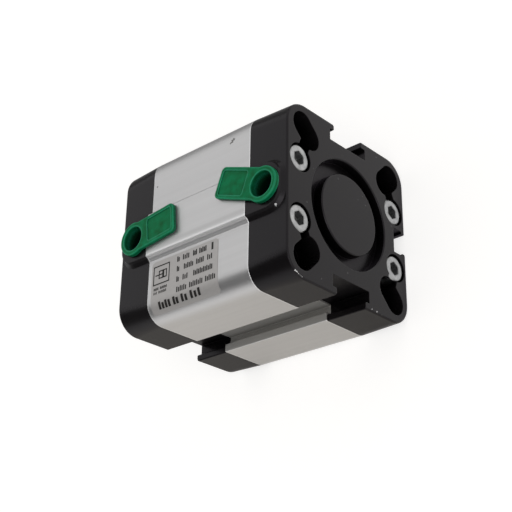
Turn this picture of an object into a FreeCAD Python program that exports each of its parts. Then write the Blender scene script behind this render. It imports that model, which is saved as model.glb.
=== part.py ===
import FreeCAD, Part
import math
import os

# Compact double-acting pneumatic cylinder with a magnetic piston, in millimetres.
# The origin is where the rod axis meets the front cover's outer face. +X points out along the rod and
# +Z out of the side with the air ports, so the body lies behind the origin, towards -X.
# The rod is modelled pulled in, with the piston one end gap away from the rear bumper.

# Bore, stroke and body
bore_diameter = 40.0
stroke = 25.0
barrel_wall = 8.4                # from the bore to the flat sides
corner_radius = 6.5              # of the barrel, and of the covers where they meet it
cover_corner_radius = 7.9        # of the covers at their outer faces, where the castings narrow
rear_cover_length = 14.6
front_cover_length = 13.4
face_rounding = 0.5              # around each cover's outer face
rounding_steps = 2               # flats that make up that rounding
face_chamfer = 0.3               # at the mouths of the round recesses

# Side grooves of the barrel for sensors and clamping nuts: two wide ones and a narrow one
groove_depth = 5.5
wide_groove_mouth = 12.5
wide_groove_inside = 17.2
wide_groove_lip = 2.7
narrow_groove_mouth = 6.0
narrow_groove_inside = 8.4
narrow_groove_lip = 2.4
cast_groove_room = 0.5           # how much wider and deeper the covers' grooves are, on each side
groove_edge_radius = 0.4
groove_root_radius = 0.2

# Raised strip that carries the air ports
strip_height = 1.8
strip_top_width = 14.6
strip_waist_width = 15.2
strip_waist_height = 0.9
strip_foot_width = 17.4
strip_edge_radius = 0.3
strip_end_radius = 5.0           # corners of its top where it ends on a cover

# Air ports, drawn at the thread's inner radius, and the passages to the chambers
port_radius = 4.28
port_depth = 8.5
port_chamfer = 0.5
rear_port_seam_distance = 7.5    # port axis to the joint between cover and barrel
front_port_seam_distance = 5.0
passage_radius = 1.5
passage_wall = 0.65              # left between a passage and the cover seal's groove

# Cover screws
screw_offset = 9.8               # from the middle of the port side
screw_edge_distance = 5.7        # from the flat side that each screw is next to
screw_head_radius = 4.25
screw_head_height = 5.0
screw_head_chamfer = 0.4
screw_head_recess = 0.45         # head top below the cover's face
screw_head_clearance = 0.35
screw_shank_radius = 2.5
screw_shank_clearance = 0.25
screw_engagement = 11.0          # length in the barrel
screw_socket_width = 4.0
screw_socket_depth = 2.6
thread_gap = 0.02                # between a screw and its tapped hole, drawn as plain cylinders

# Mounting holes in the corners, at the bottom of key-shaped pockets
mount_spacing = 38.0
mount_thread_radius = 2.5
mount_through_radius = 2.9       # the holes go on through the barrel, wide enough for long bolts
pocket_radius = 4.25
pocket_depth = 8.0
pocket_inner_reach = 0.6         # the pocket's inner end lies this far inside the mounting hole
pocket_corner_distance = 6.9     # its outer end lies this far from both flat sides
neck_radius = 2.15               # joins each pocket to the screw beside it

# Centring groove around the middle of the rear face
centring_radius = 17.6
centring_boss_radius = 12.95
centring_depth = 3.3

# Cover spigots, their seals and the bumpers
spigot_length = 2.5
spigot_clearance = 0.05
spigot_chamfer = 0.3
cover_seal_height = 1.2          # radial height of its groove
cover_seal_groove = 1.5
cover_seal_margin = 0.5          # from the joint face to the groove
seal_gap = 0.02                  # between a fixed seal and its seat
bumper_inner_radius = 9.6
bumper_outer_radius = 14.4
bumper_thickness = 2.0
bumper_proud = 0.3
bumper_gap = 0.05
end_gap = 0.3                    # piston to bumper at each end of the stroke

# Rod, with its bush and seal in the front cover
rod_diameter = 12.0
rod_projection = 7.0             # beyond the front face when pulled in
rod_chamfer = 0.8
rod_flats_width = 10.0
rod_flats_length = 4.5
rod_thread_radius = 3.4
rod_thread_depth = 14.0
rod_thread_chamfer = 0.5
rod_journal_radius = 4.0         # the end that the piston sits on
rod_running_gap = 0.02
bush_wall = 2.0
bush_length = 9.0
rod_seal_wall = 3.0
rod_seal_depth = 4.2
rod_seal_lip = 0.5               # how far the lips stand off the seal's body
rod_seal_lip_length = 0.7
wiper_proud = 0.5
wiper_thickness = 0.6

# Piston: two halves round a magnet, with a lip seal at each end and a guide ring between them
piston_length = 10.8
piston_gap = 0.4                 # piston halves to bore
piston_edge = 0.9                # rim outside each seal
piston_seal_groove = 2.2
piston_seal_height = 4.1
piston_seal_notch = 1.2          # depth of the notch that makes its lips
piston_seal_lip = 1.1            # thickness of each lip
guide_rim = 1.0                  # between a seal and the guide ring
guide_height = 1.7
bore_running_gap = 0.03          # seals and guide ring to bore
ring_gap = 0.1                   # seals and guide ring to their grooves
magnet_length = 2.9
magnet_height = 5.2
magnet_cover = 0.6               # left between the magnet and the guide ring's groove
magnet_gap = 0.05
journal_gap = 0.02
journal_seal_height = 1.0
journal_seal_groove = 1.3
journal_seal_distance = 2.5      # from the front half's front face
piston_screw_radius = 3.0
piston_screw_head_radius = 5.0
piston_screw_head_height = 3.6
piston_screw_head_clearance = 0.2
piston_screw_engagement = 10.0
piston_screw_socket_width = 5.0
piston_screw_socket_depth = 2.2
piston_web = 1.4                 # under the screw's head

# Plugs in the air ports, each with a cup and a pull tab
plug_gap = 0.08                  # cup to port
plug_seat_gap = 0.05             # flange to strip
plug_flange_radius = 5.6
plug_flange_thickness = 1.5
plug_shank_length = 6.5
plug_wall = 0.75
plug_floor = 0.9
plug_flare_width = 0.65
plug_flare_depth = 3.5
plug_edge_radius = 0.3
tab_reach = 18.4                 # port axis to the tab's end
tab_width = 10.1
tab_thickness = 1.2
tab_corner_radius = 1.6
tab_neck_radius = 1.5
panel_margin = 1.2               # rim around the thumb panel
panel_depth = 0.25
panel_corner_radius = 0.8
rear_tab_angle = -20.8           # from +X, about +Z
front_tab_angle = 186.2

hexagon_sides = 6
edge_tolerance = 1e-3            # how close an edge lies to the plane that it is looked for in

# Places that follow from the sizes
bore_radius = bore_diameter / 2
body_half = bore_radius + barrel_wall
strip_top = body_half + strip_height
chamber_length = stroke + piston_length + 2 * (end_gap + bumper_proud)
barrel_length = chamber_length + 2 * spigot_length
front_seam = -front_cover_length
rear_seam = front_seam - barrel_length
rear_face = rear_seam - rear_cover_length
rear_chamber_end = rear_seam + spigot_length
front_chamber_end = front_seam - spigot_length
piston_rear = rear_chamber_end + bumper_proud + end_gap
piston_front = piston_rear + piston_length
piston_middle = (piston_rear + piston_front) / 2
rod_radius = rod_diameter / 2
spigot_radius = bore_radius - spigot_clearance
cover_seal_seat = spigot_radius - cover_seal_height
passage_centre = cover_seal_seat - passage_wall - passage_radius
screw_seat_depth = screw_head_recess + screw_head_height
piston_radius = bore_radius - piston_gap
screw_places = [(y, z) for y in (-screw_offset, screw_offset)
                for z in (screw_edge_distance - body_half, body_half - screw_edge_distance)]


def vector(x, y, z):
    return FreeCAD.Vector(x, y, z)


def rounded_wire(corners, place):
    """Closed wire through (a, b, radius) corners, turned by tangent arcs. place maps (a, b) to space."""
    flat = [FreeCAD.Vector(a, b, 0) for a, b, radius in corners]
    stretches = []
    for index, (a, b, radius) in enumerate(corners):
        point = flat[index]
        back = (flat[index - 1] - point).normalize()
        ahead = (flat[(index + 1) % len(flat)] - point).normalize()
        if radius == 0:
            stretches.append([point])
            continue
        half_angle = back.getAngle(ahead) / 2
        inward = (back + ahead).normalize()
        setback = radius / math.tan(half_angle)
        crown = point + inward * (radius / math.sin(half_angle) - radius)
        stretches.append([point + back * setback, crown, point + ahead * setback])
    edges = []
    for index, stretch in enumerate(stretches):
        spots = [place(spot.x, spot.y) for spot in stretch]
        following = stretches[(index + 1) % len(stretches)][0]
        if len(spots) == 3:
            edges.append(Part.Arc(*spots).toShape())
        edges.append(Part.LineSegment(spots[-1], place(following.x, following.y)).toShape())
    return Part.Wire(edges)


def prism_x(corners, x_from, x_to):
    """Solid with a rounded outline in Y and Z, drawn out along X."""
    wire = rounded_wire(corners, lambda y, z: vector(x_from, y, z))
    return Part.Face(wire).extrude(vector(x_to - x_from, 0, 0))


def prism_z(corners, z_from, z_to):
    """Solid with a rounded outline in X and Y, drawn out along Z."""
    wire = rounded_wire(corners, lambda x, y: vector(x, y, z_from))
    return Part.Face(wire).extrude(vector(0, 0, z_to - z_from))


def round_x(radius, x_from, x_to, y=0.0, z=0.0):
    """Cylinder along X between two places, given in either order."""
    return Part.makeCylinder(radius, abs(x_to - x_from), vector(min(x_from, x_to), y, z), vector(1, 0, 0))


def round_z(radius, x, z_from, z_to):
    """Cylinder along Z that crosses the rod axis."""
    return Part.makeCylinder(radius, z_to - z_from, vector(x, 0, z_from))


def turned(profile):
    """Solid turned about the rod axis from a closed profile of (x, radius) points."""
    points = [vector(x, 0, radius) for x, radius in profile]
    face = Part.Face(Part.makePolygon(points + points[:1]))
    return face.revolve(vector(0, 0, 0), vector(1, 0, 0), 360)


def ring_x(inner, outer, x_from, x_to):
    return turned([(x_from, inner), (x_from, outer), (x_to, outer), (x_to, inner)])


def obround_x(start, end, radius, x_from, x_to):
    """Prism along X whose round ends are centred on two (y, z) places."""
    first = vector(x_from, *start)
    last = vector(x_from, *end)
    along = (last - first).normalize() * radius
    aside = vector(1, 0, 0).cross(along)
    edges = [Part.LineSegment(first + aside, last + aside).toShape(),
             Part.Arc(last + aside, last + along, last - aside).toShape(),
             Part.LineSegment(last - aside, first - aside).toShape(),
             Part.Arc(first - aside, first - along, first + aside).toShape()]
    return Part.Face(Part.Wire(edges)).extrude(vector(x_to - x_from, 0, 0))


def hexagon_x(width, x_from, x_to):
    """Six-sided prism along the rod axis, for wrench sockets."""
    reach = width / 2 / math.cos(math.pi / hexagon_sides)
    points = []
    for step in range(hexagon_sides + 1):
        angle = 2 * math.pi * step / hexagon_sides
        points.append(vector(x_from, reach * math.cos(angle), reach * math.sin(angle)))
    return Part.Face(Part.makePolygon(points)).extrude(vector(x_to - x_from, 0, 0))


def edges_at(shape, low, high, place):
    """Edges that lie at one place. low and high name both ends of a box along an axis, as XMin and XMax."""
    return [edge for edge in shape.Edges
            if abs(getattr(edge.BoundBox, low) - place) < edge_tolerance
            and abs(getattr(edge.BoundBox, high) - place) < edge_tolerance]


def groove_corners(mouth, inside, lip, room):
    """Undercut side groove, as (along the side, depth, radius) corners. room sets its mouth and floor back."""
    half = [(mouth / 2 + room, 0, groove_edge_radius), (mouth / 2 + room, lip - room, groove_edge_radius),
            (inside / 2, lip - room, groove_root_radius),
            (inside / 2, groove_depth + room, groove_root_radius)]
    return [(-along, depth, radius) for along, depth, radius in half] + half[::-1]


def strip_corners():
    """The port strip's section, as a groove that stands proud."""
    half = [(strip_foot_width / 2, 0, strip_edge_radius),
            (strip_waist_width / 2, -strip_waist_height, strip_edge_radius),
            (strip_top_width / 2, -strip_height, strip_edge_radius)]
    return [(-along, depth, radius) for along, depth, radius in half] + half[::-1]


def body_outline(port_side, radius, room=0.0, inset=0.0):
    """Square section with its grooves, starting on the side opposite the ports. inset draws its sides in."""
    wide = groove_corners(wide_groove_mouth, wide_groove_inside, wide_groove_lip, room)
    narrow = groove_corners(narrow_groove_mouth, narrow_groove_inside, narrow_groove_lip, room)
    corners = []
    for quarter, side in enumerate((narrow, wide, port_side, wide)):
        angle = math.radians(90 * quarter)
        for along, depth, bend in side + [(body_half - inset, 0, radius - inset)]:
            below = (depth or inset) - body_half
            corners.append((along * math.cos(angle) - below * math.sin(angle),
                            along * math.sin(angle) + below * math.cos(angle), bend))
    return corners


def make_barrel():
    barrel = prism_x(body_outline(strip_corners(), corner_radius), rear_seam, front_seam)
    cuts = [round_x(bore_radius, rear_seam, front_seam)]
    for y, z in screw_places:
        cuts.append(round_x(screw_shank_radius + thread_gap, rear_seam, front_seam, y, z))
    for y in (-mount_spacing / 2, mount_spacing / 2):
        for z in (-mount_spacing / 2, mount_spacing / 2):
            cuts.append(round_x(mount_through_radius, rear_seam, front_seam, y, z))
    return barrel.cut(cuts)


def cover_block(face, inward, seam):
    """Casting without its recesses. Its corners narrow towards the outer face, whose edge is rounded off."""
    sections = [(seam, corner_radius, 0.0)]
    for step in range(rounding_steps + 1):
        angle = math.pi / 2 * step / rounding_steps
        sections.append((face + inward * face_rounding * (1 - math.sin(angle)), cover_corner_radius,
                         face_rounding * (1 - math.cos(angle))))
    wires = [rounded_wire(body_outline([], radius, cast_groove_room, inset),
                          lambda y, z, x=place: vector(x, y, z))
             for place, radius, inset in sections]
    return Part.makeLoft(wires, True, True)


def strip_end(face, inward, seam):
    """The strip's run over a cover, rounded off before the cover's outer face."""
    levels = [(body_half, strip_foot_width), (body_half + strip_waist_height, strip_waist_width),
              (strip_top, strip_top_width)]
    wires = []
    for height, width in levels:
        end = face + inward * (face_rounding + (strip_foot_width - width) / 2)
        radius = strip_end_radius + (width - strip_top_width) / 2
        corners = [(seam, -width / 2, 0), (end, -width / 2, radius),
                   (end, width / 2, radius), (seam, width / 2, 0)]
        wires.append(rounded_wire(corners, lambda x, y, z=height: vector(x, y, z)))
    return Part.makeLoft(wires, True, True)


def make_cover(face, inward, length, port_seam_distance):
    """What both covers share. inward is the X direction from the outer face to the barrel."""
    seam = face + inward * length
    chamber_end = seam + inward * spigot_length
    cover = cover_block(face, inward, seam)
    spigot = turned([(seam, 0), (seam, spigot_radius),
                     (chamber_end - inward * spigot_chamfer, spigot_radius),
                     (chamber_end, spigot_radius - spigot_chamfer), (chamber_end, 0)])
    cover = cover.fuse([spigot, strip_end(face, inward, seam)]).removeSplitter()

    groove_from = seam + inward * cover_seal_margin
    bumper_seat = chamber_end - inward * (bumper_thickness - bumper_proud)
    cuts = [ring_x(cover_seal_seat, bore_radius, groove_from, groove_from + inward * cover_seal_groove),
            ring_x(bumper_inner_radius - bumper_gap, bumper_outer_radius + bumper_gap,
                   bumper_seat, chamber_end)]

    port_x = seam - inward * port_seam_distance
    cuts.append(round_z(port_radius, port_x, strip_top - port_depth, strip_top))
    cuts.append(Part.makeCone(port_radius, port_radius + port_chamfer, port_chamfer,
                              vector(port_x, 0, strip_top - port_chamfer)))
    cuts.append(round_z(passage_radius, port_x, passage_centre, strip_top))
    cuts.append(round_x(passage_radius, port_x, chamber_end, 0, passage_centre))

    hole = mount_spacing / 2
    pocket_inner = hole - pocket_inner_reach
    pocket_outer = body_half - pocket_corner_distance
    screw_seat = face + inward * screw_seat_depth
    pocket_floor = face + inward * pocket_depth
    for y, z in screw_places:
        y_side = math.copysign(1, y)
        z_side = math.copysign(1, z)
        cuts.append(round_x(screw_head_radius + screw_head_clearance, face, screw_seat, y, z))
        cuts.append(round_x(screw_shank_radius + screw_shank_clearance, face, seam, y, z))
        cuts.append(round_x(mount_thread_radius, face, seam, y_side * hole, z_side * hole))
        cuts.append(obround_x((y_side * pocket_inner, z_side * pocket_inner),
                              (y_side * pocket_outer, z_side * pocket_outer),
                              pocket_radius, face, pocket_floor))
        cuts.append(obround_x((y, z), (y_side * hole, z_side * hole), neck_radius, face, screw_seat))
    return cover.cut(cuts)


def make_rear_cover():
    cover = make_cover(rear_face, 1, rear_cover_length, rear_port_seam_distance)
    mouth = rear_face + face_chamfer
    floor = rear_face + centring_depth
    return cover.cut(turned([(rear_face, centring_boss_radius - face_chamfer),
                             (mouth, centring_boss_radius), (floor, centring_boss_radius),
                             (floor, centring_radius), (mouth, centring_radius),
                             (rear_face, centring_radius + face_chamfer)]))


def make_front_cover():
    cover = make_cover(0, -1, front_cover_length, front_port_seam_distance)
    seal_radius = rod_radius + rod_seal_wall
    bush_radius = rod_radius + bush_wall
    mouth = turned([(0, 0), (0, seal_radius + face_chamfer), (-face_chamfer, seal_radius),
                    (-rod_seal_depth, seal_radius), (-rod_seal_depth, 0)])
    return cover.cut([mouth, round_x(bush_radius, 0, front_chamber_end)])


def make_cover_seal(seam, inward):
    """Ring with rounded flanks, squeezed between its groove and the bore."""
    groove_from = seam + inward * cover_seal_margin
    near = groove_from + inward * seal_gap
    far = groove_from + inward * (cover_seal_groove - seal_gap)
    low = cover_seal_seat + seal_gap
    high = bore_radius - seal_gap
    round_off = (high - low) / 4
    return turned([(near, low + round_off), (near, high - round_off), (near + inward * round_off, high),
                   (far - inward * round_off, high), (far, high - round_off), (far, low + round_off),
                   (far - inward * round_off, low), (near + inward * round_off, low)])


def make_bumper(chamber_end, inward):
    seat = chamber_end - inward * (bumper_thickness - bumper_proud)
    crown = chamber_end + inward * bumper_proud
    return turned([(seat, bumper_inner_radius), (seat, bumper_outer_radius),
                   (chamber_end, bumper_outer_radius), (crown, bumper_outer_radius - bumper_proud),
                   (crown, bumper_inner_radius + bumper_proud), (chamber_end, bumper_inner_radius)])


def make_cover_screws(face, inward, length):
    """Four socket head screws, modelled once on the rod axis and copied to their places."""
    top = face + inward * screw_head_recess
    under_head = top + inward * screw_head_height
    tip = face + inward * (length + screw_engagement)
    screw = turned([(top, 0), (top, screw_head_radius - screw_head_chamfer),
                    (top + inward * screw_head_chamfer, screw_head_radius), (under_head, screw_head_radius),
                    (under_head, screw_shank_radius), (tip - inward * screw_head_chamfer, screw_shank_radius),
                    (tip, screw_shank_radius - screw_head_chamfer), (tip, 0)])
    screw = screw.cut(hexagon_x(screw_socket_width, top, top + inward * screw_socket_depth))
    return Part.makeCompound([screw.translated(vector(0, y, z)) for y, z in screw_places])


def make_rod_bush():
    return ring_x(rod_radius + rod_running_gap, rod_radius + bush_wall,
                  -rod_seal_depth - bush_length, -rod_seal_depth)


def make_rod_seal():
    """Sealing lip towards the chamber and a wiper that stands out of the front face."""
    inner = rod_radius + rod_running_gap
    relief = inner + rod_seal_lip
    outer = rod_radius + rod_seal_wall - seal_gap
    back = -rod_seal_depth + seal_gap
    front = -face_chamfer
    return turned([(back, inner), (back, outer), (front, outer), (front, relief + wiper_thickness),
                   (wiper_proud, inner + wiper_thickness), (wiper_proud, inner), (front, inner),
                   (front - rod_seal_lip_length, relief), (back + 2 * rod_seal_lip_length, relief),
                   (back + rod_seal_lip_length, inner)])


def make_piston_rod():
    tip = rod_projection
    journal_end = piston_rear + piston_screw_seat_depth() + piston_web + journal_gap
    rod = turned([(journal_end, 0), (journal_end, rod_journal_radius), (piston_front, rod_journal_radius),
                  (piston_front, rod_radius), (tip - rod_chamfer, rod_radius),
                  (tip, rod_radius - rod_chamfer), (tip, 0)])
    cuts = [round_x(piston_screw_radius + thread_gap, journal_end, journal_end + piston_screw_engagement),
            turned([(tip - rod_thread_depth, 0), (tip - rod_thread_depth, rod_thread_radius),
                    (tip - rod_thread_chamfer, rod_thread_radius),
                    (tip, rod_thread_radius + rod_thread_chamfer), (tip, 0)])]
    for side in (-1, 1):
        middle = side * (rod_flats_width + rod_radius) / 2
        cuts.append(Part.makeBox(rod_flats_length, rod_diameter, rod_radius,
                                 vector(tip - rod_flats_length, -rod_radius, middle - rod_radius / 2)))
    return rod.cut(cuts)


def piston_screw_seat_depth():
    return piston_length / 2 - piston_web


def half_piston_outline(end, inward):
    """Outer profile of one half, from its rim to the joint between the halves, as (x, radius) points."""
    seal_from = end + inward * piston_edge
    seal_to = seal_from + inward * piston_seal_groove
    guide_from = seal_to + inward * guide_rim
    seal_seat = piston_radius - piston_seal_height
    guide_seat = piston_radius - guide_height
    magnet_outer = guide_seat - magnet_cover
    magnet_inner = magnet_outer - magnet_height
    magnet_from = piston_middle - inward * (magnet_length / 2 + magnet_gap)
    return [(end, piston_radius), (seal_from, piston_radius), (seal_from, seal_seat), (seal_to, seal_seat),
            (seal_to, piston_radius), (guide_from, piston_radius), (guide_from, guide_seat),
            (piston_middle, guide_seat), (piston_middle, magnet_outer + magnet_gap),
            (magnet_from, magnet_outer + magnet_gap), (magnet_from, magnet_inner - magnet_gap),
            (piston_middle, magnet_inner - magnet_gap)]


def make_rear_half_piston():
    seat = piston_rear + piston_screw_seat_depth()
    head_hole = piston_screw_head_radius + piston_screw_head_clearance
    shank_hole = piston_screw_radius + thread_gap
    return turned([(piston_rear, head_hole)] + half_piston_outline(piston_rear, 1)
                  + [(piston_middle, shank_hole), (seat, shank_hole), (seat, head_hole)])


def journal_seal_span():
    start = piston_front - journal_seal_distance
    return start - journal_seal_groove, start


def make_front_half_piston():
    groove_from, groove_to = journal_seal_span()
    hole = rod_journal_radius + journal_gap
    return turned([(piston_front, hole)] + half_piston_outline(piston_front, -1)
                  + [(piston_middle, hole), (groove_from, hole), (groove_from, hole + journal_seal_height),
                     (groove_to, hole + journal_seal_height), (groove_to, hole)])


def make_journal_seal():
    groove_from, groove_to = journal_seal_span()
    low = rod_journal_radius + journal_gap
    high = low + journal_seal_height - seal_gap
    near = groove_from + seal_gap
    far = groove_to - seal_gap
    round_off = (high - low) / 4
    return turned([(near, low + round_off), (near, high - round_off), (near + round_off, high),
                   (far - round_off, high), (far, high - round_off), (far, low + round_off),
                   (far - round_off, low), (near + round_off, low)])


def make_piston_seal(end, inward):
    """Lip seal whose lips open towards the chamber that it seals."""
    lips = end + inward * (piston_edge + ring_gap)
    heel = end + inward * (piston_edge + piston_seal_groove - ring_gap)
    notch = lips + inward * piston_seal_notch
    inner = piston_radius - piston_seal_height + ring_gap
    outer = bore_radius - bore_running_gap
    middle = (inner + outer) / 2
    return turned([(heel, inner), (heel, outer), (lips, outer), (lips, outer - piston_seal_lip),
                   (notch, middle), (lips, inner + piston_seal_lip), (lips, inner)])


def make_guide_ring():
    rim = piston_edge + piston_seal_groove + guide_rim + ring_gap
    return ring_x(piston_radius - guide_height + ring_gap, bore_radius - bore_running_gap,
                  piston_rear + rim, piston_front - rim)


def make_magnet_ring():
    outer = piston_radius - guide_height - magnet_cover
    return ring_x(outer - magnet_height, outer,
                  piston_middle - magnet_length / 2, piston_middle + magnet_length / 2)


def make_piston_screw():
    seat = piston_rear + piston_screw_seat_depth()
    top = seat - piston_screw_head_height
    tip = seat + piston_web + piston_screw_engagement
    screw = turned([(top, 0), (top, piston_screw_head_radius - screw_head_chamfer),
                    (top + screw_head_chamfer, piston_screw_head_radius), (seat, piston_screw_head_radius),
                    (seat, piston_screw_radius), (tip, piston_screw_radius), (tip, 0)])
    return screw.cut(hexagon_x(piston_screw_socket_width, top, top + piston_screw_socket_depth))


def make_port_plug(port_x, tab_angle):
    """Cup with a flange on the strip and a pull tab, modelled along +X on the Z axis and then placed."""
    seat = strip_top + plug_seat_gap
    top = seat + plug_flange_thickness
    tab_under = top - tab_thickness
    shank_radius = port_radius - plug_gap
    cup_radius = shank_radius - plug_wall
    shank_end = seat - plug_shank_length
    half = tab_width / 2

    tab = prism_z([(0, -half, 0), (tab_reach, -half, tab_corner_radius), (tab_reach, half, tab_corner_radius),
                   (0, half, 0)], tab_under, top)
    flange = round_z(plug_flange_radius, 0, tab_under, top)
    handle = flange.fuse(tab).removeSplitter()
    meeting = math.sqrt(plug_flange_radius ** 2 - half ** 2)
    handle = handle.makeFillet(tab_neck_radius, edges_at(handle, "XMin", "XMax", meeting))
    handle = handle.makeFillet(plug_edge_radius, edges_at(handle, "ZMin", "ZMax", top))

    panel_start = plug_flange_radius + panel_margin
    panel_half = half - panel_margin
    panel = prism_z([(panel_start, -panel_half, panel_corner_radius),
                     (tab_reach - panel_margin, -panel_half, panel_corner_radius),
                     (tab_reach - panel_margin, panel_half, panel_corner_radius),
                     (panel_start, panel_half, panel_corner_radius)], top - panel_depth, top)
    foot = round_z(plug_flange_radius, 0, seat, tab_under)
    shank = round_z(shank_radius, 0, shank_end, seat)
    cup = round_z(cup_radius, 0, shank_end + plug_floor, top)
    flare = Part.makeCone(cup_radius, cup_radius + plug_flare_width, plug_flare_depth,
                          vector(0, 0, top - plug_flare_depth))
    plug = handle.fuse([foot, shank]).removeSplitter().cut([cup, flare, panel])
    plug.rotate(vector(0, 0, 0), vector(0, 0, 1), tab_angle)
    return plug.translated(vector(port_x, 0, 0))


pieces = {
    "barrel": make_barrel(),
    "rear_cover": make_rear_cover(),
    "front_cover": make_front_cover(),
    "rear_cover_oring": make_cover_seal(rear_seam, 1),
    "front_cover_oring": make_cover_seal(front_seam, -1),
    "rear_cover_screws": make_cover_screws(rear_face, 1, rear_cover_length),
    "front_cover_screws": make_cover_screws(0, -1, front_cover_length),
    "rear_bumper": make_bumper(rear_chamber_end, 1),
    "front_bumper": make_bumper(front_chamber_end, -1),
    "rod_bush": make_rod_bush(),
    "rod_seal": make_rod_seal(),
    "piston_rod": make_piston_rod(),
    "rear_half_piston": make_rear_half_piston(),
    "front_half_piston": make_front_half_piston(),
    "magnet_ring": make_magnet_ring(),
    "guide_ring": make_guide_ring(),
    "rear_piston_seal": make_piston_seal(piston_rear, 1),
    "front_piston_seal": make_piston_seal(piston_front, -1),
    "piston_rod_oring": make_journal_seal(),
    "piston_screw": make_piston_screw(),
    "rear_port_plug": make_port_plug(rear_seam - rear_port_seam_distance, rear_tab_angle),
    "front_port_plug": make_port_plug(front_seam + front_port_seam_distance, front_tab_angle),
}

os.makedirs("parts", exist_ok=True)
for name, shape in pieces.items():
    shape.exportStep("parts/" + name + ".step")
    print(name, "solids", len(shape.Solids), "valid", shape.isValid(), "volume", round(shape.Volume, 1))
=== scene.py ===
import math
import bpy
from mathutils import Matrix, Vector


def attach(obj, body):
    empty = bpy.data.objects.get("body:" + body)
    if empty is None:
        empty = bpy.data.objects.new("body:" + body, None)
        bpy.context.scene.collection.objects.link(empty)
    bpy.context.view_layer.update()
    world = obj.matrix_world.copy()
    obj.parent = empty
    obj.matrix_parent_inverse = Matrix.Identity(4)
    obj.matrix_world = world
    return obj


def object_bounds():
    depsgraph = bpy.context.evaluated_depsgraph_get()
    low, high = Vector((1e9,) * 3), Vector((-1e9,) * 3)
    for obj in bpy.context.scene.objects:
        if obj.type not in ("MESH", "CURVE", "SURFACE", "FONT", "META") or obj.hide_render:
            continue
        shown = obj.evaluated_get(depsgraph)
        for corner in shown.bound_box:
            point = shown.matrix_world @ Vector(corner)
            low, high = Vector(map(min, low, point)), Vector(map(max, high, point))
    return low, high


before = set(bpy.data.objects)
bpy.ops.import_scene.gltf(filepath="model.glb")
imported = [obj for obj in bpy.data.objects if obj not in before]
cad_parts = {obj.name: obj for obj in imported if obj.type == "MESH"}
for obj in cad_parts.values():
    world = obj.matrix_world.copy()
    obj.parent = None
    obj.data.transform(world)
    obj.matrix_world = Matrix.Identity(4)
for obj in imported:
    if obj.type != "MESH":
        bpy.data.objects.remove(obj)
cad_low, cad_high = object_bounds()


# Studio: a pale floor under the cylinder, a white surround and one large soft lamp behind the camera. A dark
# card, a grey card with a grey sheet at its foot, and a sheet of paper show in reflections only. The floor
# takes the cylinder's shadow, and fades to plain white further out.

mm = 0.001
floor_half_width = 4.0
floor_colour = (0.50, 0.485, 0.465, 1.0)
floor_white = 0.66
floor_fade = (0.12, 0.6)
surround_ambient = 0.55
lamp_place = (-1.1, 0.75, 1.25)
lamp_size = 1.2
lamp_power = 12.0
dark_card_distance = 0.8
dark_card_lean = math.radians(31)
dark_card_half_width = 0.57
dark_card_span = (-0.2, 1.6)
dark_card_colour = (0.01, 0.01, 0.01, 1.0)
grey_card_line = ((-0.04, -1.05), (1.6, -0.5))
grey_card_top = 0.42
grey_sheet_line = ((-0.04, -0.035), (1.6, -0.035))
grey_card_colour = (0.42, 0.42, 0.42, 1.0)
paper_box = ((-0.09, 0.029), (0.13, 0.12))
paper_colour = (1.0, 0.955, 0.885, 1.0)
sheet_lift = 0.2 * mm


def add_node(tree, kind, values=None, **settings):
    """New node with its settings and the values of its inputs, given by name."""
    node = tree.nodes.new(kind)
    for name, value in settings.items():
        setattr(node, name, value)
    for name, value in (values or {}).items():
        feed(tree, value, node.inputs[name])
    return node


def feed(tree, value, socket):
    """Links an output to an input, or sets the input to a plain value."""
    if isinstance(value, bpy.types.NodeSocket):
        tree.links.new(value, socket)
    else:
        socket.default_value = value


def calculate(tree, operation, *values, clamp=False):
    """Math node on outputs or plain numbers, in order."""
    node = add_node(tree, "ShaderNodeMath", operation=operation, use_clamp=clamp)
    for place, value in enumerate(values):
        feed(tree, value, node.inputs[place])
    return node.outputs[0]


def between(tree, mask, at_zero, at_one):
    """Value that runs from one number to another as a mask runs from 0 to 1."""
    return calculate(tree, "MULTIPLY_ADD", mask, at_one - at_zero, at_zero)


def seen_directly(tree):
    """1 for what the eye sees straight, in a mirror or through glass, and 0 for light that spreads."""
    path = add_node(tree, "ShaderNodeLightPath")
    seen = calculate(tree, "ADD", path.outputs["Is Camera Ray"], path.outputs["Is Glossy Ray"], clamp=True)
    return calculate(tree, "ADD", seen, path.outputs["Is Transmission Ray"], clamp=True)


def add_mesh(name, points, faces):
    """New mesh object from points in metres and faces of point numbers."""
    mesh = bpy.data.meshes.new(name)
    mesh.from_pydata(points, [], faces)
    mesh.update()
    piece = bpy.data.objects.new(name, mesh)
    bpy.context.collection.objects.link(piece)
    return piece


world = bpy.data.worlds.new("surround")
world.use_nodes = True
sky = world.node_tree
sky.nodes.clear()
surround = add_node(sky, "ShaderNodeBackground", {"Color": (1.0, 1.0, 1.0, 1.0)})
feed(sky, between(sky, seen_directly(sky), surround_ambient, 1.0), surround.inputs["Strength"])
add_node(sky, "ShaderNodeOutputWorld", {"Surface": surround.outputs["Background"]})
bpy.context.scene.world = world
bpy.context.scene.view_settings.view_transform = "Standard"

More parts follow.
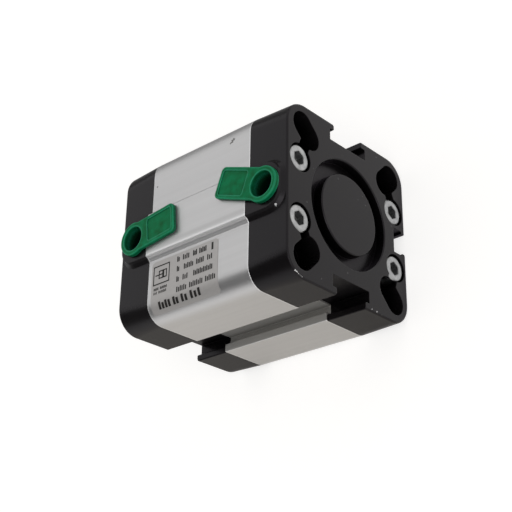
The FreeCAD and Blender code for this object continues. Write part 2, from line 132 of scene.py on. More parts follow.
square = [(-1, -1), (1, -1), (1, 1), (-1, 1)]
floor_corners = [(x * floor_half_width, y * floor_half_width, cad_low.z) for x, y in square]
floor = add_mesh("floor", floor_corners, [(0, 1, 2, 3)])
floor_material = bpy.data.materials.new("pale_floor")
floor_material.use_nodes = True
tree = floor_material.node_tree
tree.nodes.clear()
matt = add_node(tree, "ShaderNodeBsdfDiffuse", {"Color": floor_colour})
distance = add_node(tree, "ShaderNodeVectorMath", operation="LENGTH")
feed(tree, add_node(tree, "ShaderNodeTexCoord").outputs["Object"], distance.inputs[0])
fade = add_node(tree, "ShaderNodeMapRange", {
    "Value": distance.outputs["Value"],
    "From Min": floor_fade[0],
    "From Max": floor_fade[1],
    "To Max": 1.0 - floor_white,
})
straight = add_node(tree, "ShaderNodeLightPath").outputs["Is Camera Ray"]
whiter = calculate(tree, "MULTIPLY", fade.outputs["Result"], straight)
glow = calculate(tree, "MULTIPLY_ADD", seen_directly(tree), floor_white, whiter)
white = add_node(tree, "ShaderNodeEmission", {"Strength": glow})
both = add_node(tree, "ShaderNodeAddShader")
feed(tree, matt.outputs[0], both.inputs[0])
feed(tree, white.outputs[0], both.inputs[1])
add_node(tree, "ShaderNodeOutputMaterial", {"Surface": both.outputs[0]})
floor.data.materials.append(floor_material)


def add_reflected(name, corners, colour):
    """Matt sheet that shows in reflections only."""
    sheet = add_mesh(name, corners, [(0, 1, 2, 3)])
    sheet.visible_camera = False
    sheet.visible_diffuse = False
    sheet.visible_shadow = False
    material = bpy.data.materials.new(name)
    material.use_nodes = True
    shader = material.node_tree.nodes["Principled BSDF"]
    shader.inputs["Base Color"].default_value = colour
    shader.inputs["Specular IOR Level"].default_value = 0.0
    sheet.data.materials.append(material)


card_across = dark_card_half_width * Vector((0, math.cos(dark_card_lean), -math.sin(dark_card_lean)))
card_middle = dark_card_distance * Vector((0, math.sin(dark_card_lean), math.cos(dark_card_lean)))
near, far = [card_middle + Vector((x, 0, 0)) for x in dark_card_span]
dark_corners = [near - card_across, far - card_across, far + card_across, near + card_across]
add_reflected("dark_card", dark_corners, dark_card_colour)
sheet_height = cad_low.z + sheet_lift
foot = [(x, y, sheet_height) for x, y in grey_card_line]
top = [(x, y, grey_card_top) for x, y in grey_card_line]
front = [(x, y, sheet_height) for x, y in grey_sheet_line]
add_reflected("grey_card", foot + top[::-1], grey_card_colour)
add_reflected("grey_sheet", foot + front[::-1], grey_card_colour)
(x_low, y_low), (x_high, y_high) = paper_box
paper_corners = [(x_low, y_low), (x_high, y_low), (x_high, y_high), (x_low, y_high)]
add_reflected("paper", [(x, y, sheet_height) for x, y in paper_corners], paper_colour)

middle = (cad_low + cad_high) / 2
lamp = bpy.data.lights.new("key_lamp", "AREA")
lamp.size = lamp_size
lamp.energy = lamp_power
lamp_object = bpy.data.objects.new("key_lamp", lamp)
lamp_object.location = lamp_place
lamp_object.rotation_euler = (middle - Vector(lamp_place)).to_track_quat("-Z", "Y").to_euler()
bpy.context.collection.objects.link(lamp_object)


# Camera: behind the cylinder, above its port side and off to one side, and rolled, as the photograph was
# taken. Its place, turn and focal length were solved from the cylinder's edges in the photograph.

camera_place = (-248.72 * mm, 152.15 * mm, 233.67 * mm)
camera_turn_degrees = (25.949, 42.456, -178.927)
image_pixels = 512
focal_pixels = 1100.85
sensor_width = 36.0

camera_data = bpy.data.cameras.new("camera")
camera_data.sensor_width = sensor_width
camera_data.lens = sensor_width * focal_pixels / image_pixels
camera = bpy.data.objects.new("camera", camera_data)
camera.location = camera_place
camera.rotation_euler = [math.radians(angle) for angle in camera_turn_degrees]
bpy.context.collection.objects.link(camera)
bpy.context.scene.camera = camera


# Barrel: square aluminium tube, extruded, cut to length and anodised in natural silver. The die leaves faint
# lines along it. Its edges carry a painted highlight, the bands along its raised strip are partly its own
# finish and partly painted highlight and painted reflection, and its wide grooves are duller and painted
# darker and warmer as shade. The screws of the covers clamp it between them.

barrel_half = cad_high.y
barrel_light = (0.61, 0.606, 0.607, 1.0)
barrel_dark = (0.482, 0.478, 0.479, 1.0)
# Painted highlight on the edges and along the strip.
barrel_edge_highlight = (0.92, 0.92, 0.92, 1.0)
barrel_roughness = (0.36, 0.46)
barrel_relief = (0.08, 0.02 * mm)
shade_start = -0.1
line_share = 0.3
band_share = 0.6
cloud_share = 0.3
barrel_mark = (0.12, 0.115, 0.11, 1.0)
barrel_marks = ((-47.4, -21.0, 0.5), (-48.0, -21.4, 0.6), (-48.6, -21.8, 0.5), (-15.0, -17.5, 0.4))
port_side_from = 28.3 * mm
# Bands along the strip. The dull one is partly dull metal and partly painted dark reflection, the bright and
# flank ones are painted highlight, and the far-edge one is painted shade that weakens the edge highlight.
dull_and_shaded_band = {"Middle": 5.3 * mm, "Half_Width": 1.1 * mm}
dull_and_shaded_share = 0.7
bright_highlight_band = {"Middle": 6.9 * mm, "Half_Width": 0.7 * mm}
bright_highlight_share = 0.6
flank_highlight_band = {"Middle": 8.3 * mm, "Half_Width": 0.9 * mm}
flank_highlight_share = 0.9
far_edge_shade_band = {"Middle": -7.6 * mm, "Half_Width": 2.0 * mm}
edge_highlight_share = 1.8
far_edge_highlight_share = 0.6
groove_half_width = 8.75 * mm
groove_mouth_face = 28.25 * mm
# Colours inside the wide grooves, painted darker and warmer as shade, and painted shade where they are closed
# in.
shaded_groove_light = (0.50, 0.488, 0.468, 1.0)
shaded_groove_dark = (0.34, 0.332, 0.316, 1.0)
groove_painted_shade = (0.10, 0.09, 0.078, 1.0)
groove_shade_depth = (0.3, 0.8)
face_metallic = 0.85
groove_metallic = 0.5
nearby_samples = 6
spot_grains_per_metre = 2500.0
spot_reach = (-0.7, 2.5)
spot_least_reach = 0.2
spot_firmness = 4.0


def blend_colour(tree, share, first, second):
    """Colour between two others, by a share from 0 to 1."""
    node = add_node(tree, "ShaderNodeMix", data_type="RGBA")
    feed(tree, share, node.inputs[0])
    feed(tree, first, node.inputs[6])
    feed(tree, second, node.inputs[7])
    return node.outputs[2]


def sharpen(tree, mask, start, full):
    """Mask that stays 0 up to one value of another mask and is 1 from a second value on."""
    slope = 1.0 / (full - start)
    return calculate(tree, "MULTIPLY_ADD", mask, slope, -start * slope, clamp=True)


def start_material(name, **values):
    """Material with one Principled shader, whose plain values are given with _ for spaces."""
    material = bpy.data.materials.new(name)
    material.use_nodes = True
    shader = material.node_tree.nodes["Principled BSDF"]
    for socket, value in values.items():
        shader.inputs[socket.replace("_", " ")].default_value = value
    return material, material.node_tree, shader


def start_group(name, inputs, outputs):
    """Node group with named inputs, given with their usual values, and named outputs with their kinds."""
    group = bpy.data.node_groups.new(name, "ShaderNodeTree")
    for label, value in inputs.items():
        socket = group.interface.new_socket(label, in_out="INPUT", socket_type="NodeSocketFloat")
        socket.default_value = value
    for label, kind in outputs.items():
        group.interface.new_socket(label, in_out="OUTPUT", socket_type=kind)
    return group, add_node(group, "NodeGroupInput").outputs, add_node(group, "NodeGroupOutput").inputs


def place_group(tree, group, **values):
    """Copy of a group in a material, with its own values, named with _ for spaces."""
    node = add_node(tree, "ShaderNodeGroup", node_tree=group)
    for label, value in values.items():
        feed(tree, value, node.inputs[label.replace("_", " ")])
    return node.outputs


def raise_relief(tree, shader, height, strength, depth, normal):
    """Fine relief by a grain, on top of the normal of the softened edges."""
    relief = add_node(tree, "ShaderNodeBump", {
        "Strength": strength, "Distance": depth, "Height": height, "Normal": normal})
    feed(tree, relief.outputs["Normal"], shader.inputs["Normal"])


def dress(material, *node_names):
    """Gives CAD nodes a material in place of their plain one."""
    for node_name in node_names:
        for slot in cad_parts[node_name].material_slots:
            slot.material = material


# Fine grain of a surface: a noise in the part's own metres, drawn out along X where asked.
grain, given, out = start_group(
    "grain", {"Grains per Metre": 2000.0, "Length along X": 1.0, "Detail": 3.0}, {"Grain": "NodeSocketFloat"}
)
where = add_node(grain, "ShaderNodeTexCoord").outputs["Object"]
squeeze = add_node(grain, "ShaderNodeCombineXYZ", {"Y": 1.0, "Z": 1.0})
feed(grain, calculate(grain, "DIVIDE", 1.0, given["Length along X"]), squeeze.inputs["X"])
stretched = add_node(grain, "ShaderNodeVectorMath", operation="MULTIPLY")
feed(grain, where, stretched.inputs[0])
feed(grain, squeeze.outputs[0], stretched.inputs[1])
noise = add_node(grain, "ShaderNodeTexNoise", {
    "Vector": stretched.outputs[0], "Scale": given["Grains per Metre"], "Detail": given["Detail"]})
feed(grain, noise.outputs["Fac"], out["Grain"])

# Soft edge: the normal that a slightly rounded edge would have, and a mask along outward edges.
soft_edge, given, out = start_group(
    "soft_edge", {"Radius": 0.2 * mm}, {"Normal": "NodeSocketVector", "Edge": "NodeSocketFloat"}
)
rounded = add_node(soft_edge, "ShaderNodeBevel", {"Radius": given["Radius"]}, samples=nearby_samples)
inside = add_node(
    soft_edge, "ShaderNodeAmbientOcclusion", {"Distance": given["Radius"]},
    samples=nearby_samples, inside=True, only_local=True,
)
feed(soft_edge, rounded.outputs["Normal"], out["Normal"])
feed(soft_edge, calculate(soft_edge, "SUBTRACT", 1.0, inside.outputs["AO"]), out["Edge"])

# Hollow: a mask for places that are closed in, where little light gets in. The materials paint shade with it.
hollow, given, out = start_group("hollow", {"Distance": 2.0 * mm}, {"Closed In": "NodeSocketFloat"})
around = add_node(
    hollow, "ShaderNodeAmbientOcclusion", {"Distance": given["Distance"]}, samples=nearby_samples
)
feed(hollow, calculate(hollow, "SUBTRACT", 1.0, around.outputs["AO"]), out["Closed In"])

# Spot: a ragged mark round one place. The noise moves its rim in and out.
spot, given, out = start_group(
    "spot", {"X": 0.0, "Y": 0.0, "Z": 0.0, "Radius": 0.5 * mm}, {"Mark": "NodeSocketFloat"}
)
where = add_node(spot, "ShaderNodeTexCoord").outputs["Object"]
centre = add_node(spot, "ShaderNodeCombineXYZ", {axis: given[axis] for axis in "XYZ"})
offset = add_node(spot, "ShaderNodeVectorMath", operation="SUBTRACT")
feed(spot, where, offset.inputs[0])
feed(spot, centre.outputs[0], offset.inputs[1])
distance = add_node(spot, "ShaderNodeVectorMath", operation="LENGTH")
feed(spot, offset.outputs[0], distance.inputs[0])
noise = add_node(spot, "ShaderNodeTexNoise", {"Vector": where, "Scale": spot_grains_per_metre, "Detail": 2.0})
reach = between(spot, noise.outputs["Fac"], *spot_reach)
reach = calculate(spot, "MAXIMUM", reach, spot_least_reach)
reach = calculate(spot, "MULTIPLY", given["Radius"], reach)
depth = calculate(spot, "SUBTRACT", 1.0, calculate(spot, "DIVIDE", distance.outputs["Value"], reach))
feed(spot, calculate(spot, "MULTIPLY", depth, spot_firmness, clamp=True), out["Mark"])

# Stripe: a soft band along X on the port side, on its raised strip or beside it.
stripe, given, out = start_group(
    "stripe", {"Middle": 5.0 * mm, "Half Width": 1.0 * mm}, {"Stripe": "NodeSocketFloat"}
)
where = add_node(stripe, "ShaderNodeTexCoord").outputs["Object"]
axes = add_node(stripe, "ShaderNodeSeparateXYZ", {"Vector": where}).outputs
aside = calculate(stripe, "ABSOLUTE", calculate(stripe, "SUBTRACT", axes["Y"], given["Middle"]))
way_out = calculate(stripe, "DIVIDE", aside, given["Half Width"])
depth = calculate(stripe, "SUBTRACT", 1.0, way_out, clamp=True)
on_port_side = calculate(stripe, "GREATER_THAN", axes["Z"], port_side_from)
feed(stripe, calculate(stripe, "MULTIPLY", depth, on_port_side), out["Stripe"])


def marks_at(tree, places):
    """Mask of ragged marks, each at X, Y and Z with a radius, in millimetres."""
    marks = 0.0
    for x, y, z, radius in places:
        mark = place_group(tree, spot, X=x * mm, Y=y * mm, Z=z * mm, Radius=radius * mm)["Mark"]
        marks = calculate(tree, "MAXIMUM", marks, mark)
    return marks


barrel_material, tree, shader = start_material("anodised_aluminium")
lines = place_group(tree, grain, Grains_per_Metre=2600.0, Length_along_X=120.0, Detail=2.0)["Grain"]
bands = place_group(tree, grain, Grains_per_Metre=420.0, Length_along_X=400.0, Detail=1.0)["Grain"]
clouds = place_group(tree, grain, Grains_per_Metre=60.0, Length_along_X=3.0)["Grain"]
shade = shade_start
for texture, share in ((lines, line_share), (bands, band_share), (clouds, cloud_share)):
    shade = calculate(tree, "MULTIPLY_ADD", texture, share, shade)
# The dull band is partly dull metal and partly painted dark reflection.
dull_and_shaded = place_group(tree, stripe, **dull_and_shaded_band)["Stripe"]
shade = calculate(tree, "MULTIPLY_ADD", dull_and_shaded, -dull_and_shaded_share, shade, clamp=True)
colour = blend_colour(tree, shade, barrel_dark, barrel_light)

# Painted highlight along the edges, partly the metal's own polish. It is weaker on the strip's far side,
# which faces away from the light, and more painted highlight runs along the strip's near edge and flank.
edge = place_group(tree, soft_edge, Radius=0.45 * mm)
far_edge_shade = place_group(tree, stripe, **far_edge_shade_band)["Stripe"]
highlight_strength = between(tree, far_edge_shade, edge_highlight_share, far_edge_highlight_share)
painted_highlight = calculate(tree, "MULTIPLY", edge["Edge"], highlight_strength, clamp=True)
for band, share in ((bright_highlight_band, bright_highlight_share), (flank_highlight_band, flank_highlight_share)):
    rubbed_sheen = place_group(tree, stripe, **band)["Stripe"]
    painted_highlight = calculate(tree, "MULTIPLY_ADD", rubbed_sheen, share, painted_highlight, clamp=True)
colour = blend_colour(tree, painted_highlight, colour, barrel_edge_highlight)

# The wide grooves lie round the middle of the sides, behind their faces. Inside them the colour is painted
# darker and warmer as shade, and darker still as painted shade where they are closed in.
axes = add_node(tree, "ShaderNodeSeparateXYZ")
feed(tree, add_node(tree, "ShaderNodeTexCoord").outputs["Object"], axes.inputs["Vector"])
near_middle = calculate(tree, "LESS_THAN", calculate(tree, "ABSOLUTE", axes.outputs["Z"]), groove_half_width)
behind_face = calculate(tree, "LESS_THAN", calculate(tree, "ABSOLUTE", axes.outputs["Y"]), groove_mouth_face)
groove = calculate(tree, "MULTIPLY", near_middle, behind_face)
colour = blend_colour(tree, groove, colour, blend_colour(tree, shade, shaded_groove_dark, shaded_groove_light))
closed = place_group(tree, hollow, Distance=3.0 * mm)["Closed In"]
groove_shade = calculate(tree, "MULTIPLY", groove, sharpen(tree, closed, *groove_shade_depth))
colour = blend_colour(tree, groove_shade, colour, groove_painted_shade)

marks = marks_at(tree, [(x, y, barrel_half / mm, radius) for x, y, radius in barrel_marks])
feed(tree, blend_colour(tree, marks, colour, barrel_mark), shader.inputs["Base Color"])
feed(tree, between(tree, groove, face_metallic, groove_metallic), shader.inputs["Metallic"])
feed(tree, between(tree, lines, *barrel_roughness), shader.inputs["Roughness"])
raise_relief(tree, shader, lines, *barrel_relief, edge["Normal"])
dress(barrel_material, "barrel")


# Piston rod: ground steel bar, hard chromed and polished to fine rings. Its outer end has two wrench flats
# and a tapped hole, and its inner end carries the piston.

chrome_light = (0.74, 0.74, 0.75, 1.0)
chrome_dark = (0.66, 0.66, 0.67, 1.0)
chrome_roughness = (0.10, 0.22)
chrome_relief = (0.05, 0.01 * mm)


def follow_grain(tree, shader, mask, dark, light, roughness):
    """Colour and roughness that both follow one grain."""
    feed(tree, blend_colour(tree, mask, dark, light), shader.inputs["Base Color"])
    feed(tree, between(tree, mask, *roughness), shader.inputs["Roughness"])


rod_material, tree, shader = start_material("hard_chrome", Metallic=1.0)
rings = place_group(tree, grain, Grains_per_Metre=500.0, Length_along_X=0.06, Detail=2.0)["Grain"]
follow_grain(tree, shader, rings, chrome_dark, chrome_light, chrome_roughness)
edge = place_group(tree, soft_edge, Radius=0.15 * mm)
raise_relief(tree, shader, rings, *chrome_relief, edge["Normal"])
dress(rod_material, "piston_rod")


# Thread in the rod's end: a ridge of 1.25 mm pitch, cut into the steel by a tap. The CAD hole has the size of
# its drill, and the ridge stands on that wall and turns with the rod.

rod_thread_pitch = 1.25 * mm
rod_thread_wall = 3.42 * mm
rod_thread_crest = 3.08 * mm
rod_thread_span = (6.3 * mm, -6.6 * mm)
ridge_steps = 24
ridge_share = 0.42


def thread_ridge(points, faces, span, pitch, wall, crest, y=0.0, z=0.0):
    """Adds a closed helical ridge that stands into a hole along X. Its ends run out over a quarter turn."""
    start, end = span
    toward = 1 if end > start else -1
    steps = int(abs(end - start) / pitch * ridge_steps)
    fade = ridge_steps // 4
    first = len(points)
    for step in range(steps + 1):
        angle = 2 * math.pi * step / ridge_steps
        x = start + toward * pitch * step / ridge_steps
        height = min(1.0, step / fade, (steps - step) / fade)
        tip = wall + (crest - wall) * height
        for aside, radius in ((-ridge_share, wall), (0, tip), (ridge_share, wall)):
            points.append((x + aside * pitch, y + radius * math.cos(angle), z + radius * math.sin(angle)))
    for step in range(steps):
        here = first + 3 * step
        for corner in range(3):
            following = (corner + 1) % 3
            faces.append((here + corner, here + following, here + 3 + following, here + 3 + corner))
    faces.append((first, first + 2, first + 1))
    last = first + 3 * steps
    faces.append((last, last + 1, last + 2))


points, faces = [], []
thread_ridge(points, faces, rod_thread_span, rod_thread_pitch, rod_thread_wall, rod_thread_crest)
rod_thread = add_mesh("rod_end_thread", points, faces)
rod_thread.data.materials.append(rod_material)
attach(rod_thread, "rod_assembly")


# Piston: two aluminium halves, turned on a lathe, whose tool leaves fine rings. They clamp a magnet between
# them, and a screw holds them to the rod.

piston_light = (0.60, 0.60, 0.61, 1.0)
piston_dark = (0.50, 0.50, 0.51, 1.0)
piston_roughness = (0.22, 0.37)
piston_relief = (0.15, 0.02 * mm)

piston_material, tree, shader = start_material("turned_aluminium", Metallic=1.0)
rings = place_group(tree, grain, Grains_per_Metre=300.0, Length_along_X=0.05, Detail=2.0)["Grain"]
follow_grain(tree, shader, rings, piston_dark, piston_light, piston_roughness)
edge = place_group(tree, soft_edge, Radius=0.15 * mm)
raise_relief(tree, shader, rings, *piston_relief, edge["Normal"])
dress(piston_material, "rear_half_piston", "front_half_piston")


# Magnet ring: ferrite powder bonded in plastic and moulded, matt and dark. It sits between the halves of the
# piston, and sensors in the barrel's grooves feel it pass.

magnet_light = (0.075, 0.074, 0.078, 1.0)
magnet_dark = (0.045, 0.045, 0.048, 1.0)
magnet_roughness = (0.5, 0.7)

magnet_material, tree, shader = start_material("bonded_ferrite")
grit = place_group(tree, grain, Grains_per_Metre=5000.0)["Grain"]
follow_grain(tree, shader, grit, magnet_dark, magnet_light, magnet_roughness)
dress(magnet_material, "magnet_ring")


# Guide ring: a strip of pale acetal, moulded and bent round the piston into its groove. It carries the piston
# in the bore.

acetal_light = (0.76, 0.74, 0.69, 1.0)
acetal_dark = (0.70, 0.67, 0.61, 1.0)
acetal_roughness = (0.32, 0.47)

guide_material, tree, shader = start_material("pale_acetal", Subsurface_Weight=0.1)
mould = place_group(tree, grain, Grains_per_Metre=900.0)["Grain"]
follow_grain(tree, shader, mould, acetal_dark, acetal_light, acetal_roughness)
dress(guide_material, "guide_ring")


# Rubber rings: moulded nitrile, black and matt, with a faint grey bloom. They seal the covers and the rod's
# end, and the two bumpers stop the piston.

rubber_black = (0.016, 0.016, 0.017, 1.0)
rubber_bloom = (0.034, 0.034, 0.035, 1.0)
rubber_roughness = (0.5, 0.7)
rubber_rings = ("rear_cover_oring", "front_cover_oring", "piston_rod_oring", "rear_bumper", "front_bumper")

rubber_material, tree, shader = start_material("nitrile_rubber")
bloom = place_group(tree, grain, Grains_per_Metre=700.0, Detail=5.0)["Grain"]
follow_grain(tree, shader, bloom, rubber_black, rubber_bloom, rubber_roughness)
dress(rubber_material, *rubber_rings)


# Lip seals: moulded polyurethane, dark with a bluish cast and a soft gloss, pushed into their grooves. Two
# seal the piston, and one seals and wipes the rod in the front cover.

seal_light = (0.040, 0.048, 0.056, 1.0)
seal_dark = (0.026, 0.031, 0.037, 1.0)
seal_roughness = (0.30, 0.45)

seal_material, tree, shader = start_material("polyurethane")
mould = place_group(tree, grain, Grains_per_Metre=600.0)["Grain"]
follow_grain(tree, shader, mould, seal_dark, seal_light, seal_roughness)
dress(seal_material, "rear_piston_seal", "front_piston_seal", "rod_seal")


# Rod bush: a rolled strip of sintered bronze, pressed into the front cover, where it guides the rod. Its
# pores hold oil.

bronze_light = (0.58, 0.40, 0.19, 1.0)
bronze_dark = (0.40, 0.26, 0.12, 1.0)
bronze_roughness = (0.28, 0.48)
bronze_relief = (0.2, 0.02 * mm)

bush_material, tree, shader = start_material("sintered_bronze", Metallic=1.0)
pores = place_group(tree, grain, Grains_per_Metre=4000.0)["Grain"]
follow_grain(tree, shader, pores, bronze_dark, bronze_light, bronze_roughness)
edge = place_group(tree, soft_edge, Radius=0.15 * mm)
raise_relief(tree, shader, pores, *bronze_relief, edge["Normal"])
dress(bush_material, "rod_bush")


# Covers: aluminium die castings in satin black paint. Each sits on a spigot in the barrel's end, and four
# screws hold it. The paint is chipped at a few places on the edges, and some bright marks there are painted
# highlights. It holds a little dust, is painted deeper black in the hollows as shade, and is rubbed a little
# duller on the side towards +Y.

paint_black = (0.0036, 0.0031, 0.0034, 1.0)
paint_grey = (0.0065, 0.0056, 0.0060, 1.0)
paint_tint = (0.97, 0.925, 1.0, 1.0)
paint_gloss = 0.2
paint_roughness = (0.2, 0.3)
paint_relief = (0.06, 0.03 * mm)
rubbed_roughness = 0.17
paint_hollow_shade_depth = (0.3, 0.633)
dust_grey = (0.06, 0.06, 0.06, 1.0)
bare_casting_and_highlight = (0.55, 0.55, 0.55, 1.0)
# Chips of bare metal. Some, such as the row along the rear face's corner towards +Y and +Z, are painted
# highlights.
chip_and_highlight_places = (
    (-66.25, 6.95, 29.1, 0.4),
    (-69.9, 26.8, 24.8, 0.3), (-69.9, 27.0, 24.4, 0.22), (-69.9, 27.2, 24.0, 0.17), (-69.9, 27.4, 23.5, 0.16),
    (-69.9, 27.6, 23.0, 0.14), (-69.9, 27.75, 22.5, 0.13), (-69.9, 27.9, 22.0, 0.11),
    (-69.8, 27.5, -9.8, 0.3), (-69.8, 27.7, -12.2, 0.35), (-69.8, 27.9, -14.6, 0.25),
    (-69.8, -27.2, -24.6, 0.35),
)

# Specks: small round grains of dust, in a share of the cells of a regular scatter.
specks, given, out = start_group(
    "specks", {"Specks per Metre": 600.0, "Share": 0.06, "Size": 0.12}, {"Speck": "NodeSocketFloat"}
)
where = add_node(specks, "ShaderNodeTexCoord").outputs["Object"]
cells = add_node(specks, "ShaderNodeTexVoronoi", {"Vector": where, "Scale": given["Specks per Metre"]})
channels = add_node(specks, "ShaderNodeSeparateColor", {"Color": cells.outputs["Color"]})
chosen = calculate(specks, "LESS_THAN", channels.outputs[0], given["Share"])
size = calculate(specks, "MULTIPLY", given["Size"], channels.outputs[1])
near = calculate(specks, "LESS_THAN", cells.outputs["Distance"], size)
feed(specks, calculate(specks, "MULTIPLY", chosen, near), out["Speck"])

cover_material, tree, shader = start_material(
    "black_paint", Specular_IOR_Level=paint_gloss, Specular_Tint=paint_tint
)
peel = place_group(tree, grain, Grains_per_Metre=1800.0)["Grain"]
dust = place_group(tree, specks, Specks_per_Metre=500.0, Share=0.035, Size=0.16)["Speck"]
colour = blend_colour(tree, peel, paint_black, paint_grey)
colour = blend_colour(tree, dust, colour, dust_grey)
chips_and_highlights = marks_at(tree, chip_and_highlight_places)
feed(tree, blend_colour(tree, chips_and_highlights, colour, bare_casting_and_highlight), shader.inputs["Base Color"])

# The chips are bare metal, and some of them are painted highlights. The hollows count as metal too, so that
# they render deeper black as painted shade, because a metal as black as this paint reflects next to nothing.
closed = place_group(tree, hollow, Distance=10.0 * mm)["Closed In"]
painted_hollow_shade = sharpen(tree, closed, *paint_hollow_shade_depth)
feed(tree, calculate(tree, "MAXIMUM", chips_and_highlights, painted_hollow_shade), shader.inputs["Metallic"])
facing = add_node(tree, "ShaderNodeSeparateXYZ")
feed(tree, add_node(tree, "ShaderNodeTexCoord").outputs["Normal"], facing.inputs["Vector"])
rubbed_sheen = calculate(tree, "MULTIPLY", facing.outputs["Y"], rubbed_roughness, clamp=True)
roughness = calculate(tree, "ADD", between(tree, peel, *paint_roughness), rubbed_sheen)
feed(tree, roughness, shader.inputs["Roughness"])
edge = place_group(tree, soft_edge, Radius=0.25 * mm)
raise_relief(tree, shader, peel, *paint_relief, edge["Normal"])
dress(cover_material, "rear_cover", "front_cover")


# Threads in the mounting holes: ridges of 1 mm pitch, tapped into the bare metal at the bottom of each corner
# pocket. The CAD holes have the size of the drill, and the ridges stand on their walls.

mount_spacing = 38.0 * mm
mount_thread_pitch = 1.0 * mm
mount_thread_wall = 2.52 * mm
mount_thread_crest = 2.25 * mm
mount_thread_spans = ((-61.5 * mm, -55.9 * mm), (-12.9 * mm, -8.5 * mm))

points, faces = [], []
for span in mount_thread_spans:
    for y in (-mount_spacing / 2, mount_spacing / 2):
        for z in (-mount_spacing / 2, mount_spacing / 2):
            thread_ridge(points, faces, span, mount_thread_pitch, mount_thread_wall, mount_thread_crest, y, z)
mount_threads = add_mesh("mounting_threads", points, faces)
mount_threads.data.materials.append(piston_material)
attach(mount_threads, "housing")


# Screws: steel socket head screws, cold formed and zinc plated. Their sockets are darkened as painted shade,
# and their rims are coloured darker. Eight hold the covers, and one clamps the piston to its rod.

zinc_light = (0.48, 0.485, 0.49, 1.0)
zinc_dark = (0.30, 0.305, 0.31, 1.0)
zinc_mottle = (0.25, 0.75)
zinc_roughness = (0.22, 0.42)
zinc_relief = (0.1, 0.02 * mm)
socket_painted_shade = (0.10, 0.10, 0.095, 1.0)
socket_shade_share = 1.3
rim_darkening_share = 1.2

screw_material, tree, shader = start_material("zinc_plate", Metallic=1.0)
spots = place_group(tree, grain, Grains_per_Metre=900.0)["Grain"]
closed = place_group(tree, hollow, Distance=2.2 * mm)["Closed In"]
edge = place_group(tree, soft_edge, Radius=0.5 * mm)
colour = blend_colour(tree, sharpen(tree, spots, *zinc_mottle), zinc_dark, zinc_light)
# Painted shade in the sockets, and a darker colour along the rims.
rim_darkening = calculate(tree, "MULTIPLY", edge["Edge"], rim_darkening_share)
dark = calculate(tree, "MULTIPLY_ADD", closed, socket_shade_share, rim_darkening, clamp=True)
feed(tree, blend_colour(tree, dark, colour, socket_painted_shade), shader.inputs["Base Color"])
feed(tree, between(tree, spots, *zinc_roughness), shader.inputs["Roughness"])
raise_relief(tree, shader, spots, *zinc_relief, edge["Normal"])
dress(screw_material, "rear_cover_screws", "front_cover_screws", "piston_screw")


# Port plugs: soft polyethylene caps with a pull tab, moulded in green and pushed into the air ports. Their
# rims carry a painted highlight and shine a little, and their cups are painted dark inside as shade.

plug_light = (0.0005, 0.168, 0.062, 1.0)
plug_dark = (0.003, 0.090, 0.026, 1.0)
plug_rim_highlight = (0.020, 0.360, 0.195, 1.0)
plug_cup_painted_shade = (0.0004, 0.007, 0.003, 1.0)
plug_gloss = 0.08
plug_rim_roughness = 0.35
plug_roughness = (0.34, 0.54)
plug_relief = (0.1, 0.03 * mm)
plug_mottle = (0.25, 0.667)
plug_rim_highlight_edge = (0.0, 0.588)
plug_rim_shine = 0.8
plug_cup_shade_depth = (0.3, 0.633)

plug_material, tree, shader = start_material(
    "green_polyethylene", Specular_IOR_Level=plug_gloss, Coat_Roughness=plug_rim_roughness
)
clouds = place_group(tree, grain, Grains_per_Metre=420.0)["Grain"]
spots = place_group(tree, grain, Grains_per_Metre=1500.0)["Grain"]
edge = place_group(tree, soft_edge, Radius=0.6 * mm)
closed = place_group(tree, hollow, Distance=14.0 * mm)["Closed In"]
colour = blend_colour(tree, sharpen(tree, clouds, *plug_mottle), plug_dark, plug_light)
# Painted highlight along the rims, and painted shade inside the cups.
colour = blend_colour(tree, sharpen(tree, edge["Edge"], *plug_rim_highlight_edge), colour, plug_rim_highlight)
painted_hollow_shade = sharpen(tree, closed, *plug_cup_shade_depth)
feed(tree, blend_colour(tree, painted_hollow_shade, colour, plug_cup_painted_shade), shader.inputs["Base Color"])
shine = calculate(tree, "MULTIPLY", edge["Edge"], between(tree, painted_hollow_shade, plug_rim_shine, 0.0))
feed(tree, shine, shader.inputs["Coat Weight"])
feed(tree, between(tree, spots, *plug_roughness), shader.inputs["Roughness"])
raise_relief(tree, shader, spots, *plug_relief, edge["Normal"])
dress(plug_material, "rear_port_plug", "front_port_plug")


# Label: a silvery foil sticker, cut with rounded corners and stuck to the port side, where it bends down over
# the barrel's corner.

barrel_corner = 6.5 * mm
label_span = (-43.3 * mm, -15.0 * mm)
label_reach = (9.6 * mm, 27.2 * mm)
label_corner = 1.0 * mm
label_gap = 0.01 * mm
label_thickness = 0.1 * mm
label_row = 0.5 * mm
foil_light = (0.44, 0.425, 0.415, 1.0)
foil_dark = (0.38, 0.365, 0.355, 1.0)
foil_metallic = 0.35
foil_roughness = 0.45


def on_barrel(x, along, lift):
    """Place on the port side, or round its corner, at a distance from the middle of that side."""
    flat_end = barrel_half - barrel_corner
    if along <= flat_end:
        return (x, along, barrel_half + lift)
    turn = (along - flat_end) / barrel_corner
    reach = barrel_corner + lift
    return (x, flat_end + reach * math.sin(turn), flat_end + reach * math.cos(turn))


def label_width_at(along):
    """Both ends of the label along X at one distance, with its corners rounded."""
    nearest = min(along - label_reach[0], label_reach[1] - along)
    inset = 0.0
    if nearest < label_corner:
        inset = label_corner - math.sqrt(label_corner ** 2 - (label_corner - nearest) ** 2)
    return label_span[0] + inset, label_span[1] - inset


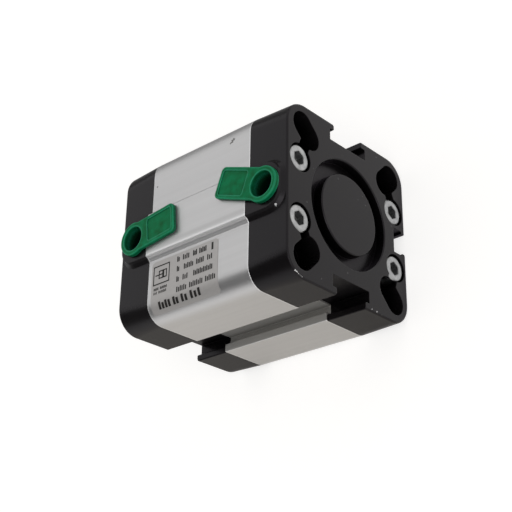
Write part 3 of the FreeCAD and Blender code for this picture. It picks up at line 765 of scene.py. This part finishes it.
row_count = round((label_reach[1] - label_reach[0]) / label_row)
points, faces = [], []
for row in range(row_count + 1):
    along = label_reach[0] + (label_reach[1] - label_reach[0]) * row / row_count
    rear_end, front_end = label_width_at(along)
    for x, lift in ((rear_end, label_gap), (rear_end, label_thickness),
                    (front_end, label_thickness), (front_end, label_gap)):
        points.append(on_barrel(x, along, lift))
for row in range(row_count):
    here = 4 * row
    for corner in range(4):
        following = (corner + 1) % 4
        faces.append((here + corner, here + 4 + corner, here + 4 + following, here + following))
faces.append((0, 1, 2, 3))
last = 4 * row_count
faces.append((last + 3, last + 2, last + 1, last))
label = add_mesh("barrel_label", points, faces)
foil_material, tree, shader = start_material("label_foil", Metallic=foil_metallic, Roughness=foil_roughness)
fibres = place_group(tree, grain, Grains_per_Metre=1500.0, Length_along_X=2.0)["Grain"]
feed(tree, blend_colour(tree, fibres, foil_dark, foil_light), shader.inputs["Base Color"])
label.data.materials.append(foil_material)
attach(label, "housing")


# Print on the label: black ink, printed in a layer so thin that it lies flat on the foil. It shows a frame
# with the symbol for a cylinder, a small bar, and rows of short strokes in groups. A row gives its distance
# from the middle of the side, its height, its stroke width and the ends of its groups, in millimetres.

ink_thickness = 0.015 * mm
print_lift = label_thickness + ink_thickness
print_line = 0.42
frame_box = (-22.9, -15.7, 11.2, 17.6)
symbol_rear_inset = 1.2
symbol_front_inset = 2.4
symbol_side_inset = 1.8
symbol_piston_inset = 2.4
symbol_rod_inset = 0.9
bar_box = (-41.4, -40.6, 10.4, 12.8)
stroke_rows = (
    (11.5, 1.8, 0.5, ((-26.0, -27.2), (-28.4, -31.4), (-32.8, -34.6), (-35.4, -38.6))),
    (14.7, 1.8, 0.5, ((-26.0, -27.2), (-29.0, -33.2), (-34.2, -37.6), (-38.8, -41.1))),
    (18.1, 1.8, 0.5, ((-26.0, -27.2), (-28.6, -31.0), (-33.2, -41.3))),
    (21.5, 1.8, 0.5, ((-26.1, -30.6), (-31.6, -37.4), (-38.2, -42.6))),
    (18.9, 0.9, 0.34, ((-16.1, -18.3), (-18.9, -22.0))),
    (20.2, 0.9, 0.34, ((-16.1, -17.7), (-18.3, -21.8))),
    (24.5, 2.4, 1.0, ((-18.0, -23.4), (-24.2, -26.8), (-27.6, -30.6), (-31.4, -36.2))),
)
stroke_pitch_share = 1.4
stroke_heights = (1.0, 0.8, 1.0, 0.9)
ink_black = (0.008, 0.007, 0.007, 1.0)
ink_worn = (0.030, 0.028, 0.026, 1.0)
ink_roughness = 0.5
ink_gloss = 0.2


def print_patch(points, faces, x_from, x_to, along_from, along_to):
    """Adds a printed rectangle, in rows that follow the barrel's corner."""
    rows = max(1, math.ceil((along_to - along_from) * mm / label_row))
    first = len(points)
    for row in range(rows + 1):
        along = (along_from + (along_to - along_from) * row / rows) * mm
        points.append(on_barrel(x_from * mm, along, print_lift))
        points.append(on_barrel(x_to * mm, along, print_lift))
    for row in range(rows):
        here = first + 2 * row
        faces.append((here, here + 2, here + 3, here + 1))


def box_lines(x_from, x_to, low, high):
    """The four lines of a printed frame."""
    return [
        (x_from, x_to, low, low + print_line), (x_from, x_to, high - print_line, high),
        (x_from, x_from + print_line, low, high), (x_to - print_line, x_to, low, high),
    ]


x_from, x_to, low, high = frame_box
symbol_low = low + symbol_side_inset
symbol_high = high - symbol_side_inset
symbol_middle = (low + high) / 2
piston_from = x_from + symbol_piston_inset
symbol = box_lines(x_from + symbol_rear_inset, x_to - symbol_front_inset, symbol_low, symbol_high)
symbol_piston = (piston_from, piston_from + 2 * print_line, symbol_low, symbol_high)
symbol_rod = (
    piston_from, x_to - symbol_rod_inset, symbol_middle - print_line / 2, symbol_middle + print_line / 2
)
points, faces = [], []
for box in box_lines(*frame_box) + symbol + [symbol_piston, symbol_rod, bar_box]:
    print_patch(points, faces, *box)
for along, height, width, groups in stroke_rows:
    for start, end in groups:
        count = max(1, round((start - end) / (width * stroke_pitch_share)))
        for stroke in range(count):
            x = start - (stroke + 0.5) * (start - end) / count
            top = along + height / 2
            tall = height * stroke_heights[stroke % len(stroke_heights)]
            print_patch(points, faces, x - width / 2, x + width / 2, top - tall, top)
label_print = add_mesh("label_print", points, faces)
ink_material, tree, shader = start_material(
    "label_ink", Roughness=ink_roughness, Specular_IOR_Level=ink_gloss
)
rub = place_group(tree, grain, Grains_per_Metre=1200.0)["Grain"]
feed(tree, blend_colour(tree, rub, ink_black, ink_worn), shader.inputs["Base Color"])
label_print.data.materials.append(ink_material)
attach(label_print, "housing")
